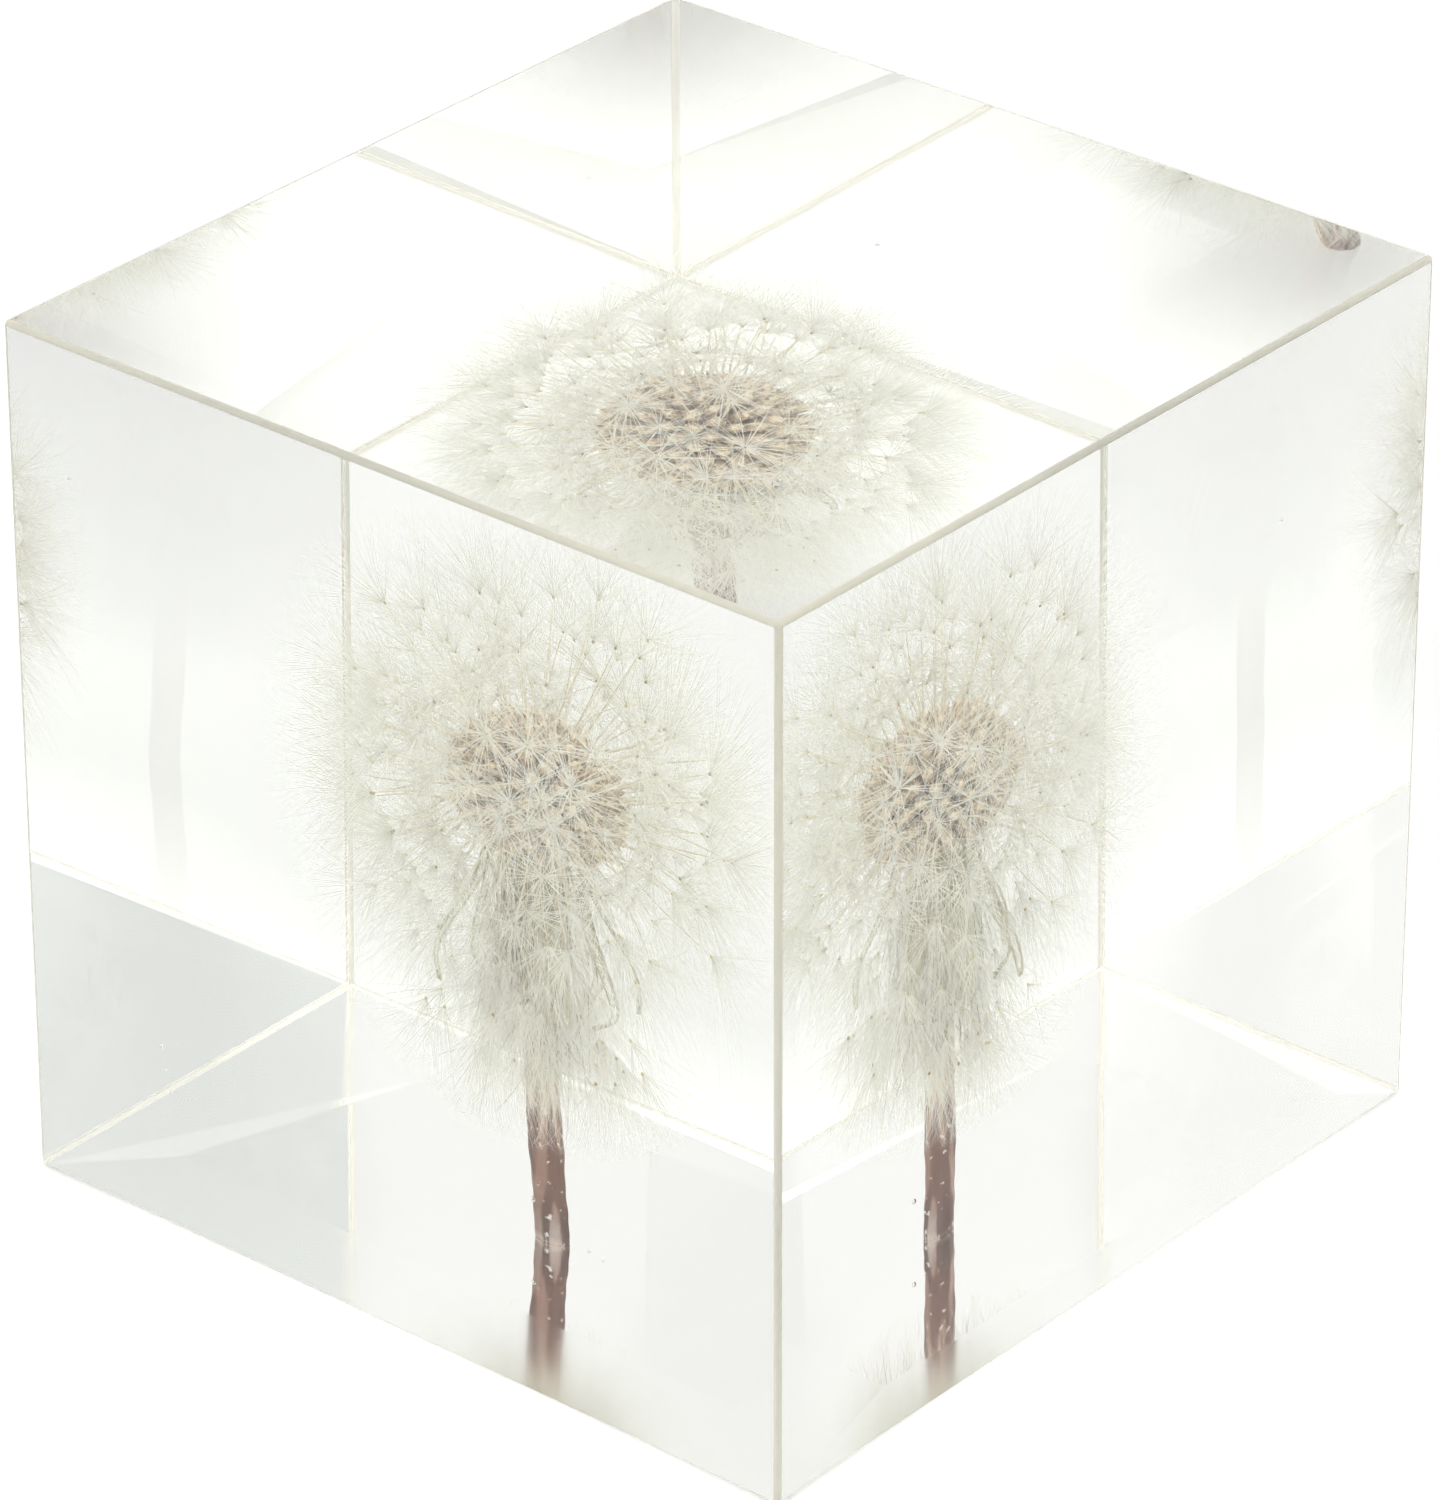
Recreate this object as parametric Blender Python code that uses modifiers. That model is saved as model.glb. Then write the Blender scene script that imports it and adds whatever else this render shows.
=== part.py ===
"""A dandelion clock cast in a block of clear resin.

The block is nearly a cube, with softly rounded edges. It is parted into a front and a back half,
which close around one pocket. In the pocket stands the dandelion: its stem, the head with its
seeds and their beaks, the turned-down bracts under the head, and the globe of pappus.
Lengths are in metres, +Z is up, and the origin is the middle of the block's base.
"""

import math
import random

import bmesh
import bpy
from mathutils import Matrix, Vector

# Block
BLOCK_SIZE = Vector((0.0600, 0.0617, 0.0588))
EDGE_RADIUS = 0.0007
EDGE_SEGMENTS = 3
GAP = 0.0003
PARTING_Y = -0.0005

# Head: the ball of seeds is wider than it is tall
HEAD_CENTRE = Vector((-0.0012, -0.0003, 0.0308))
BALL_RADIUS = 0.0069
BALL_HALF_HEIGHT = 0.00525
# The receptacle is a dome on a collar, as distance from the head's axis and height above its centre
RECEPTACLE_RADIUS = 0.00345
RECEPTACLE_HEIGHT = 0.0026
RECEPTACLE_STEPS = 16
DOME_POINTS = 4
COLLAR_RADIUS = 0.0026
COLLAR_WAIST = -0.00245
COLLAR_FOOT = -0.0035

# Seeds: one achene each, with its beak; shares are of the ball's radius
SEED_COUNT = 120
SEED_LIMIT = math.radians(134)
SEED_SIDES = 4
SEED_ROOT_SHARE = 0.40
SEED_WIDEST_SHARE = 0.86
SEED_ROOT_RADIUS = 0.00016
SEED_WIDEST_RADIUS = 0.00060
BEAK_RADIUS = 0.00016
BEAK_REACH = 0.0113
BEAK_VARIATION = 0.0009

# Stem: points of its middle line, from the cut foot up to the head
STEM_RADIUS = 0.00133
STEM_ROUTE = [
    Vector((0.0002, -0.0009, GAP)),
    Vector((-0.0003, -0.0005, 0.0045)),
    Vector((-0.0008, -0.0003, 0.0105)),
    Vector((-0.0011, -0.0003, 0.0180)),
    Vector((-0.0012, -0.0003, HEAD_CENTRE.z + COLLAR_FOOT - GAP)),
]
STEM_POINT_COUNT = 12
STEM_BEVEL_RESOLUTION = 3

# Bracts: middle lines as distance from the head's axis and height above its centre
BRACT_LENGTH_STEPS = 7
BRACT_WIDTH = 0.0016
BRACT_TIP_WIDTH = 0.0004
BRACT_THICKNESS = 0.00024
BRACT_KEEL = 0.00018
HANGING_ROUTE = [(0.0021, -0.0039), (0.0024, -0.0070), (0.0027, -0.0110), (0.0023, -0.0145)]
CLASPING_ROUTE = [(0.0021, -0.0039), (0.0023, -0.0075), (0.0024, -0.0130), (0.0021, -0.0183)]
FLARED_ROUTE = [(0.00305, -0.0033), (0.0046, -0.0068), (0.0077, -0.0112), (0.0087, -0.0142)]
CURLED_ROUTE = [(0.00305, -0.0033), (0.0044, -0.0080), (0.0062, -0.0130), (0.0048, -0.0148)]
# Each bract's place around the stem, in degrees from +X, and its route
BRACTS = [
    (-80, HANGING_ROUTE), (-28, CLASPING_ROUTE), (22, HANGING_ROUTE), (74, CLASPING_ROUTE),
    (126, HANGING_ROUTE), (178, CLASPING_ROUTE), (229, HANGING_ROUTE),
    (-52, CURLED_ROUTE), (-3, CURLED_ROUTE), (28, FLARED_ROUTE), (66, CURLED_ROUTE),
    (112, FLARED_ROUTE), (168, CURLED_ROUTE), (215, FLARED_ROUTE),
]

# Globe of pappus: a sphere above, drooping below, with a bell-shaped hollow
GLOBE_RADIUS = 0.0207
GLOBE_DROOP = 0.0243
GLOBE_SEGMENTS = 40
GLOBE_RINGS = 24
TUFT_COUNT = 80
TUFT_SPREAD = math.radians(11)
TUFT_DEPTH = 0.07
HOLLOW_RADIUS = 0.0117
HOLLOW_STEPS = 20
HOLLOW_ARC_POINTS = 6
HOLLOW_ARC_END = math.radians(105)
HOLLOW_BELL = [(0.0112, -0.0075), (0.0106, -0.0130), (0.0082, -0.0172), (0.0040, -0.0200),
               (0.0026, -0.0215), (0.0026, -0.0260)]
POCKET_STEPS = 32
POCKET_RINGS = 16
BORE_RADIUS = STEM_RADIUS + 2 * GAP
BORE_SEGMENTS = 24
CUTTER_MARGIN = 0.01

RANDOM_SEED = 7
MERGE_DISTANCE = 0.00001
GOLDEN_ANGLE = math.pi * (3 - math.sqrt(5))

random.seed(RANDOM_SEED)


def clear_scene():
    for old in list(bpy.data.objects):
        bpy.data.objects.remove(old, do_unlink=True)


def new_collection(name):
    collection = bpy.data.collections.new(name)
    bpy.context.scene.collection.children.link(collection)
    return collection


def new_material(name, colour, roughness, transmission=0.0, ior=1.45):
    material = bpy.data.materials.new(name)
    material.use_nodes = True
    shader = material.node_tree.nodes["Principled BSDF"]
    shader.inputs["Base Color"].default_value = (*colour, 1.0)
    shader.inputs["Roughness"].default_value = roughness
    shader.inputs["Metallic"].default_value = 0.0
    shader.inputs["Transmission Weight"].default_value = transmission
    shader.inputs["IOR"].default_value = ior
    return material


def add_object(name, data, collection, material=None):
    obj = bpy.data.objects.new(name, data)
    collection.objects.link(obj)
    if material:
        data.materials.append(material)
    return obj


def mesh_from_bmesh(name, bm):
    bmesh.ops.recalc_face_normals(bm, faces=bm.faces)
    mesh = bpy.data.meshes.new(name)
    bm.to_mesh(mesh)
    bm.free()
    return mesh


def make_cutter(obj):
    obj.hide_render = True
    obj.display_type = "WIRE"
    return obj


def add_boolean(obj, name, operation, other):
    boolean = obj.modifiers.new(name, "BOOLEAN")
    boolean.operation = operation
    boolean.solver = "EXACT"
    boolean.object = other


def add_turned(name, profile, steps, collection, material=None):
    """A profile of (radius, height) points, turned about the object's own Z axis."""
    mesh = bpy.data.meshes.new(name)
    points = [(radius, 0.0, height) for radius, height in profile]
    edges = [(i, i + 1) for i in range(len(points) - 1)]
    mesh.from_pydata(points, edges, [])
    obj = add_object(name, mesh, collection, material)
    screw = obj.modifiers.new("Turn", "SCREW")
    screw.axis = "Z"
    screw.angle = 2 * math.pi
    screw.steps = steps
    screw.render_steps = steps
    screw.use_merge_vertices = True
    screw.merge_threshold = MERGE_DISTANCE
    return obj


def evaluated_mesh(obj):
    bpy.context.view_layer.update()
    depsgraph = bpy.context.evaluated_depsgraph_get()
    return bpy.data.meshes.new_from_object(obj.evaluated_get(depsgraph))


def smooth_route(points, count):
    """Evenly spread samples of a Catmull-Rom curve through the points."""
    ends = [points[0] * 2 - points[1]] + list(points) + [points[-1] * 2 - points[-2]]
    samples = []
    for i in range(count):
        place = i / (count - 1) * (len(points) - 1)
        span = min(int(place), len(points) - 2)
        t = place - span
        p0, p1, p2, p3 = ends[span:span + 4]
        samples.append(0.5 * (2 * p1 + (p2 - p0) * t + (2 * p0 - 5 * p1 + 4 * p2 - p3) * t ** 2
                              + (3 * p1 - p0 - 3 * p2 + p3) * t ** 3))
    return samples


def lattice_direction(index, count, limit):
    """A direction from an even spread over the sphere, no further than limit from the top."""
    height = 1 - (index + 0.5) / count * (1 - math.cos(limit))
    ring = math.sqrt(1 - height * height)
    turn = index * GOLDEN_ANGLE
    return Vector((ring * math.cos(turn), ring * math.sin(turn), height))


def make_stem(collection, material):
    curve = bpy.data.curves.new("stem", "CURVE")
    curve.dimensions = "3D"
    curve.bevel_depth = STEM_RADIUS
    curve.bevel_resolution = STEM_BEVEL_RESOLUTION
    curve.use_fill_caps = True
    spline = curve.splines.new("POLY")
    route = smooth_route(STEM_ROUTE, STEM_POINT_COUNT)
    spline.points.add(len(route) - 1)
    for point, place in zip(spline.points, route):
        point.co = (*place, 1.0)
    return add_object("stem", curve, collection, material)


def seed_profile():
    """An achene and its beak along +Z, as shares of the ball's radius there."""
    return [
        (0.0, BEAK_REACH),
        (BEAK_RADIUS, BALL_RADIUS),
        (SEED_WIDEST_RADIUS, BALL_RADIUS * SEED_WIDEST_SHARE),
        (SEED_ROOT_RADIUS, BALL_RADIUS * SEED_ROOT_SHARE),
        (0.0, BALL_RADIUS * SEED_ROOT_SHARE),
    ]


def seed_height(height, ball_radius, beak_reach):
    """Moves a height on the pattern seed to its place on a seed of another length."""
    if height <= BALL_RADIUS + MERGE_DISTANCE:
        return height * ball_radius / BALL_RADIUS
    return beak_reach


def make_seed_head(collection, cutters, material):
    """The receptacle, with every achene and its beak grown on it."""
    pattern = add_turned("seed_pattern", seed_profile(), SEED_SIDES, cutters)
    pattern_mesh = evaluated_mesh(pattern)
    bpy.data.objects.remove(pattern, do_unlink=True)

    seeds = bmesh.new()
    for index in range(SEED_COUNT):
        around = lattice_direction(index, SEED_COUNT, SEED_LIMIT)
        on_ball = Vector((around.x * BALL_RADIUS, around.y * BALL_RADIUS, around.z * BALL_HALF_HEIGHT))
        reach = BEAK_REACH - BEAK_VARIATION * random.random()
        first = len(seeds.verts)
        seeds.from_mesh(pattern_mesh)
        seeds.verts.ensure_lookup_table()
        turn = on_ball.to_track_quat("Z", "Y").to_matrix().to_4x4()
        turn = turn @ Matrix.Rotation(random.random() * math.pi, 4, "Z")
        for vertex in seeds.verts[first:]:
            vertex.co.z = seed_height(vertex.co.z, on_ball.length, reach)
            vertex.co = HEAD_CENTRE + turn @ vertex.co
    seed_object = make_cutter(add_object("seeds", mesh_from_bmesh("seeds", seeds), cutters))

    dome = [(RECEPTACLE_RADIUS * math.sin(turn), RECEPTACLE_HEIGHT * math.cos(turn))
            for turn in (i / DOME_POINTS * math.pi / 2 for i in range(1, DOME_POINTS + 1))]
    collar = [(COLLAR_RADIUS, COLLAR_WAIST), (COLLAR_RADIUS, COLLAR_FOOT), (0.0, COLLAR_FOOT)]
    head = add_turned("seed_head", [(0.0, RECEPTACLE_HEIGHT)] + dome + collar, RECEPTACLE_STEPS,
                      collection, material)
    head.location = HEAD_CENTRE
    add_boolean(head, "Seeds", "UNION", seed_object)
    return head


def make_bract(name, azimuth, route, collection, material):
    """A pointed strap with a raised keel, hanging from under the head."""
    outward = Vector((math.cos(azimuth), math.sin(azimuth), 0.0))
    sideways = Vector((-math.sin(azimuth), math.cos(azimuth), 0.0))
    middle = smooth_route([outward * r + Vector((0, 0, z)) for r, z in route], BRACT_LENGTH_STEPS)
    strap = bmesh.new()
    rows = []
    for step, point in enumerate(middle):
        before = middle[max(step - 1, 0)]
        after = middle[min(step + 1, BRACT_LENGTH_STEPS - 1)]
        normal = sideways.cross(after - before).normalized()
        along = step / (BRACT_LENGTH_STEPS - 1)
        width = BRACT_TIP_WIDTH + (BRACT_WIDTH - BRACT_TIP_WIDTH) * math.sqrt(1 - along)
        keel = normal * BRACT_KEEL * (1 - along)
        row = [-sideways * width / 2, keel, sideways * width / 2]
        rows.append([strap.verts.new(HEAD_CENTRE + point + offset) for offset in row])
    for upper, lower in zip(rows, rows[1:]):
        for side in range(2):
            strap.faces.new((upper[side], upper[side + 1], lower[side + 1], lower[side]))
    bract = add_object(name, mesh_from_bmesh(name, strap), collection, material)
    solidify = bract.modifiers.new("Thickness", "SOLIDIFY")
    solidify.thickness = BRACT_THICKNESS
    solidify.offset = 0.0
    return bract


def globe_point(direction):
    """The globe's surface in a direction from the head's centre, tufted all over."""
    nearest = max(direction.dot(tuft) for tuft in TUFTS)
    angle = math.acos(min(1.0, nearest))
    depth = TUFT_DEPTH * (1 - math.exp(-(angle / TUFT_SPREAD) ** 2))
    height = GLOBE_RADIUS if direction.z > 0 else GLOBE_DROOP
    point = Vector((direction.x * GLOBE_RADIUS, direction.y * GLOBE_RADIUS, direction.z * height))
    return point * (1 - depth)


def make_pappus_globe(collection, cutters, material):
    top = [(0.0, HOLLOW_RADIUS)]
    arc = [(HOLLOW_RADIUS * math.sin(turn), HOLLOW_RADIUS * math.cos(turn))
           for turn in (i / HOLLOW_ARC_POINTS * HOLLOW_ARC_END for i in range(1, HOLLOW_ARC_POINTS + 1))]
    mouth = [(0.0, HOLLOW_BELL[-1][1])]
    hollow = add_turned("globe_hollow", top + arc + HOLLOW_BELL + mouth, HOLLOW_STEPS, cutters)
    hollow.location = HEAD_CENTRE
    make_cutter(hollow)

    ball = bmesh.new()
    bmesh.ops.create_uvsphere(ball, u_segments=GLOBE_SEGMENTS, v_segments=GLOBE_RINGS, radius=1.0)
    for vertex in ball.verts:
        vertex.co = HEAD_CENTRE + globe_point(vertex.co.normalized())
    globe = add_object("pappus_globe", mesh_from_bmesh("pappus_globe", ball), collection, material)
    add_boolean(globe, "Hollow", "DIFFERENCE", hollow)
    return globe


def make_pocket(cutters):
    """The room for the globe and for the stem below it, each with its clearance."""
    facet_allowance = 1 / (math.cos(math.pi / POCKET_STEPS) * math.cos(math.pi / POCKET_RINGS / 2))
    wall = (GLOBE_RADIUS + GAP) * facet_allowance
    floor = (GLOBE_DROOP + GAP) * facet_allowance
    profile = []
    for ring in range(POCKET_RINGS + 1):
        turn = ring / POCKET_RINGS * math.pi
        height = wall if turn < math.pi / 2 else floor
        profile.append((wall * math.sin(turn), height * math.cos(turn)))
    profile[0] = (0.0, wall)
    profile[-1] = (0.0, -floor)
    pocket = add_turned("pocket", profile, POCKET_STEPS, cutters)
    pocket.location = HEAD_CENTRE
    make_cutter(pocket)

    foot, above = STEM_ROUTE[0], STEM_ROUTE[2]
    along = (above - foot).normalized()
    length = (above - foot).length * 2
    bore_mesh = bmesh.new()
    bmesh.ops.create_cone(bore_mesh, cap_ends=True, segments=BORE_SEGMENTS, radius1=BORE_RADIUS,
                          radius2=BORE_RADIUS, depth=length)
    bore = add_object("bore", mesh_from_bmesh("bore", bore_mesh), cutters)
    bore.rotation_mode = "QUATERNION"
    bore.rotation_quaternion = along.to_track_quat("Z", "Y")
    bore.location = foot
    make_cutter(bore)
    return pocket, bore


def add_box(name, low, high, collection, material=None):
    bpy.ops.mesh.primitive_cube_add(size=1.0)
    box = bpy.context.object
    box.name = name
    box.data.name = name
    for old in list(box.users_collection):
        old.objects.unlink(box)
    collection.objects.link(box)
    size = high - low
    box.data.transform(Matrix.Diagonal((*size, 1.0)))
    box.location = (low + high) / 2
    if material:
        box.data.materials.append(material)
    return box


def make_resin_half(name, low_y, high_y, pocket, bore, collection, cutters, material):
    half_x = BLOCK_SIZE.x / 2
    half_y = BLOCK_SIZE.y / 2
    low = Vector((-half_x, -half_y, 0.0))
    high = Vector((half_x, half_y, BLOCK_SIZE.z))
    block = add_box(name, low, high, collection, material)
    bevel = block.modifiers.new("Rounded edges", "BEVEL")
    bevel.width = EDGE_RADIUS
    bevel.segments = EDGE_SEGMENTS
    add_boolean(block, "Pocket", "DIFFERENCE", pocket)
    add_boolean(block, "Bore", "DIFFERENCE", bore)
    margin = Vector((CUTTER_MARGIN, 0.0, CUTTER_MARGIN))
    side_low = Vector((low.x, low_y, low.z)) - margin
    side_high = Vector((high.x, high_y, high.z)) + margin
    side = make_cutter(add_box(name + "_side", side_low, side_high, cutters))
    add_boolean(block, "Side", "INTERSECT", side)
    return block


clear_scene()
parts = new_collection("dandelion_in_resin")
cutters = new_collection("cutters")

clear_resin = new_material("clear_resin", (0.98, 0.98, 0.96), 0.02, transmission=1.0, ior=1.56)
stem_skin = new_material("stem_skin", (0.16, 0.08, 0.05), 0.55)
seed_husk = new_material("seed_husk", (0.22, 0.15, 0.09), 0.7)
dry_bract = new_material("dry_bract", (0.42, 0.40, 0.26), 0.75)
pappus_hair = new_material("pappus_hair", (0.93, 0.92, 0.85), 0.6)

TUFTS = [lattice_direction(i, TUFT_COUNT, math.pi) for i in range(TUFT_COUNT)]

make_stem(parts, stem_skin)
make_seed_head(parts, cutters, seed_husk)
for number, (degrees, bract_route) in enumerate(BRACTS, start=1):
    make_bract(f"bract_{number:02d}", math.radians(degrees), bract_route, parts, dry_bract)
make_pappus_globe(parts, cutters, pappus_hair)

pocket_cutter, bore_cutter = make_pocket(cutters)
outer_y = BLOCK_SIZE.y / 2 + CUTTER_MARGIN
make_resin_half("resin_front", -outer_y, PARTING_Y - GAP / 2, pocket_cutter, bore_cutter,
                parts, cutters, clear_resin)
make_resin_half("resin_back", PARTING_Y + GAP / 2, outer_y, pocket_cutter, bore_cutter,
                parts, cutters, clear_resin)
bpy.context.view_layer.update()
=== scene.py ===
import math

import bmesh
import bpy
import numpy as np
from mathutils import Matrix, Vector


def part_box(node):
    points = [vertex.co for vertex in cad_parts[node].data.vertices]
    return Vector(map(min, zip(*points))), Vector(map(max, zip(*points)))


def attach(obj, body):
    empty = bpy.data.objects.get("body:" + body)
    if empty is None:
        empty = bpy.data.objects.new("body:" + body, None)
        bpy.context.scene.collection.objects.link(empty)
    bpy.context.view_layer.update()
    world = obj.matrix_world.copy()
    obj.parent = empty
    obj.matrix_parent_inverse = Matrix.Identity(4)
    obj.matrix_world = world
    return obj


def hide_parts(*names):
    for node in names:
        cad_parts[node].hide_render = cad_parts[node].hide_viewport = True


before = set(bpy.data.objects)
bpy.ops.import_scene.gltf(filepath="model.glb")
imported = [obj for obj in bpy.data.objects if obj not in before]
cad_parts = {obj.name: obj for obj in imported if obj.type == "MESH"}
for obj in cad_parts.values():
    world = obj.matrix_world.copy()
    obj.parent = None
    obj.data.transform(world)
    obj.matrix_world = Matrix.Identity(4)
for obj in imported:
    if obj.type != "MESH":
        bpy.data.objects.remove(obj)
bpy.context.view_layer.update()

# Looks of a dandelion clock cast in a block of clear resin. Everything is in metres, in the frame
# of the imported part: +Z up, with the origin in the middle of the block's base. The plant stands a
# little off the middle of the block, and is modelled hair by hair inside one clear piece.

# The block and its place in the photograph
FRONT_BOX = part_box("resin_front")
BACK_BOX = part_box("resin_back")
BLOCK_LOW = Vector((FRONT_BOX[0][0], FRONT_BOX[0][1], 0.0))
BLOCK_HIGH = Vector((BACK_BOX[1][0], BACK_BOX[1][1], BACK_BOX[1][2]))
BLOCK_SIZE = BLOCK_HIGH - BLOCK_LOW
SIDE = BLOCK_SIZE.x
EDGE_RADIUS = 0.00036
RESIN_IOR = 1.56
RESIN_TINT = (0.80, 0.82, 0.76, 1.0)
RESIN_DENSITY = 6.0
FOOT_ROUGHNESS = 0.12
EDGE_ROUGHNESS = 0.8
EDGE_COLOUR = (0.87, 0.84, 0.75, 1.0)
EDGE_CLEARNESS = 0.85
FOOT_RISE = 0.00018
FLOOR_SPAN = 0.15
FLOOR_GAP = 0.00002
PLATEAU_CORNERS = ((-0.40, -0.28), (0.354, -0.277), (0.37, 0.47), (-0.305, 0.335))
PLATEAU = [Vector(corner) * SIDE for corner in PLATEAU_CORNERS]

CAMERA_AZIMUTH = math.radians(40.174)
CAMERA_ELEVATION = math.radians(28.802)
CAMERA_ROLL = math.radians(-0.126)
CAMERA_DISTANCE = 9.085 * SIDE
CAMERA_AIM = Vector((0.0, 0.0, 0.5)) * SIDE
CAMERA_SLIDE = (-0.005 * SIDE, -0.0405 * SIDE)
SENSOR = 36.0
LENS = 8887.1 / 1500 * SENSOR

# Where the room is greyer, a little brighter and brightest
SHADE_DIRECTION = Vector((0.62, 0.62, 0.48)).normalized()
NEAR_DIRECTION = Vector((-0.40, -0.76, 0.50)).normalized()
KEY_DIRECTION = Vector((0.60, -0.71, 0.42)).normalized()

# The plant, as in the solids
HEAD_CENTRE = Vector((-0.0012, -0.0003, 0.0308))
BALL_RADIUS = 0.0069
BALL_HALF_HEIGHT = 0.00525
STEM_RADIUS = 0.00133
STEM_ROUTE = [
    Vector((0.0002, -0.0009, 0.0003)),
    Vector((-0.0003, -0.0005, 0.0045)),
    Vector((-0.0008, -0.0003, 0.0105)),
    Vector((-0.0011, -0.0003, 0.0180)),
    Vector((-0.0012, -0.0003, 0.0270)),
]
STEM_FOOT = 0.00002
STAIN_HEIGHT = 0.020
GLOBE_RADIUS = 0.0207
GLOBE_DROOP = 0.0243

# Seeds and hairs: how many, how thick, and the cones in degrees that the parachutes open to
SEED_COUNT = 165
SEED_LIMIT = math.radians(134)
HANGING_COUNT = 84
HAIRS_PER_SEED = 54
HANGING_HAIRS = 30
HAIR_STEPS = 4
HAIR_LENGTH = 0.0078
HAIR_RADIUS = 0.000016
PAPPUS_PIECES = 4
OPEN_CONE = (12, 76)
TASSEL_CONE = (4, 66)
PRESSED_COUNT = 60
PRESSED_HAIRS = 36
PRESSED_RADIUS = 0.000035
CLINGING_COUNT = 820
CLINGING_RADIUS = 0.000022
CLINGING_TANGLE = 0.35
FIBRE_COUNT = 100
FIBRE_RADIUS = 0.000042
FIBRE_TANGLE = 0.75
LOOSE_COUNT = 1900
LOOSE_RADIUS = 0.000013

GOLDEN_ANGLE = math.pi * (3 - math.sqrt(5))
rng = np.random.default_rng(11)


# Small helpers

def new_object(name, mesh, material=None):
    obj = bpy.data.objects.new(name, mesh)
    bpy.context.scene.collection.objects.link(obj)
    if material:
        mesh.materials.append(material)
    return obj


def mesh_from_bmesh(name, bm):
    bmesh.ops.recalc_face_normals(bm, faces=bm.faces)
    mesh = bpy.data.meshes.new(name)
    bm.to_mesh(mesh)
    bm.free()
    return mesh


def mesh_from_arrays(name, vertices, faces, along=None):
    """A mesh from arrays of points and faces, with an optional number on each point."""
    mesh = bpy.data.meshes.new(name)
    mesh.from_pydata(np.asarray(vertices).tolist(), [], [f for f in faces])
    if along is not None:
        layer = mesh.attributes.new("along", "FLOAT", "POINT")
        layer.data.foreach_set("value", np.asarray(along, dtype=np.float32).ravel())
    mesh.update()
    return mesh


def smooth_route(points, count):
    """Evenly spread samples of a Catmull-Rom curve through the points."""
    ends = [points[0] * 2 - points[1]] + list(points) + [points[-1] * 2 - points[-2]]
    samples = []
    for i in range(count):
        place = i / (count - 1) * (len(points) - 1)
        span = min(int(place), len(points) - 2)
        t = place - span
        p0, p1, p2, p3 = ends[span:span + 4]
        samples.append(0.5 * (2 * p1 + (p2 - p0) * t + (2 * p0 - 5 * p1 + 4 * p2 - p3) * t ** 2
                              + (3 * p1 - p0 - 3 * p2 + p3) * t ** 3))
    return samples


def unit(vectors):
    return vectors / np.linalg.norm(vectors, axis=-1, keepdims=True)


def side_vectors(directions):
    """Two unit vectors square to each direction."""
    helper = np.where(np.abs(directions[..., 2:3]) < 0.9, [0.0, 0.0, 1.0], [1.0, 0.0, 0.0])
    first = unit(np.cross(directions, helper))
    return first, np.cross(directions, first)


def lattice(count, limit):
    """Directions spread evenly over the sphere, no further than limit from the top."""
    index = np.arange(count)
    height = 1 - (index + 0.5) / count * (1 - math.cos(limit))
    ring = np.sqrt(1 - height ** 2)
    turn = index * GOLDEN_ANGLE
    return np.column_stack([ring * np.cos(turn), ring * np.sin(turn), height])


def strands(name, paths, radii, sides, material):
    """Pointed strands along paths (strand, point, xyz); the last point of each is its tip."""
    count, steps = paths.shape[:2]
    before = np.concatenate([paths[:, :1], paths[:, :-1]], axis=1)
    after = np.concatenate([paths[:, 1:], paths[:, -1:]], axis=1)
    first, second = side_vectors(unit(after - before))
    turn = np.arange(sides) / sides * 2 * math.pi
    ring = (first[:, :-1, None] * np.cos(turn)[:, None] + second[:, :-1, None] * np.sin(turn)[:, None])
    rings = paths[:, :-1, None] + ring * radii[:, :-1, None, None]
    vertices = np.concatenate([rings.reshape(count, -1, 3), paths[:, -1:]], axis=1)
    per_strand = vertices.shape[1]

    pattern = []
    for step in range(steps - 2):
        for side in range(sides):
            a, b = step * sides + side, step * sides + (side + 1) % sides
            pattern.append((a, b, b + sides, a + sides))
    tip = per_strand - 1
    last = (steps - 2) * sides
    caps = [(last + side, last + (side + 1) % sides, tip) for side in range(sides)]
    starts = np.arange(count) * per_strand
    quads = (np.array(pattern)[None] + starts[:, None, None]).reshape(-1, 4) if pattern else []
    points = (np.array(caps)[None] + starts[:, None, None]).reshape(-1, 3)
    root = (np.arange(sides)[::-1][None] + starts[:, None])
    faces = [tuple(f) for f in np.asarray(quads).tolist()] + [tuple(f) for f in points.tolist()]
    faces += [tuple(f) for f in root.tolist()]
    share = np.linspace(0, 1, steps)
    along = np.concatenate([np.repeat(share[:-1], sides), share[-1:]])
    mesh = mesh_from_arrays(name, vertices.reshape(-1, 3), faces, np.tile(along, count))
    return new_object(name, mesh, material)


# Materials

def new_material(name):
    material = bpy.data.materials.new(name)
    material.use_nodes = True
    nodes = material.node_tree.nodes
    return material, nodes, material.node_tree.links, nodes["Principled BSDF"]


def add_ramp(nodes, stops):
    ramp = nodes.new("ShaderNodeValToRGB")
    elements = ramp.color_ramp.elements
    while len(elements) < len(stops):
        elements.new(0.5)
    for element, (position, colour) in zip(elements, stops):
        element.position = position
        element.color = (*colour, 1.0)
    return ramp


def add_noise(nodes, links, scale, detail=3.0):
    place = nodes.new("ShaderNodeTexCoord")
    noise = nodes.new("ShaderNodeTexNoise")
    noise.inputs["Scale"].default_value = scale
    noise.inputs["Detail"].default_value = detail
    links.new(place.outputs["Object"], noise.inputs["Vector"])
    return noise


def add_bump(nodes, links, shader, height, distance, strength=1.0):
    bump = nodes.new("ShaderNodeBump")
    bump.inputs["Distance"].default_value = distance
    bump.inputs["Strength"].default_value = strength
    links.new(height, bump.inputs["Height"])
    links.new(bump.outputs["Normal"], shader.inputs["Normal"])


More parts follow.
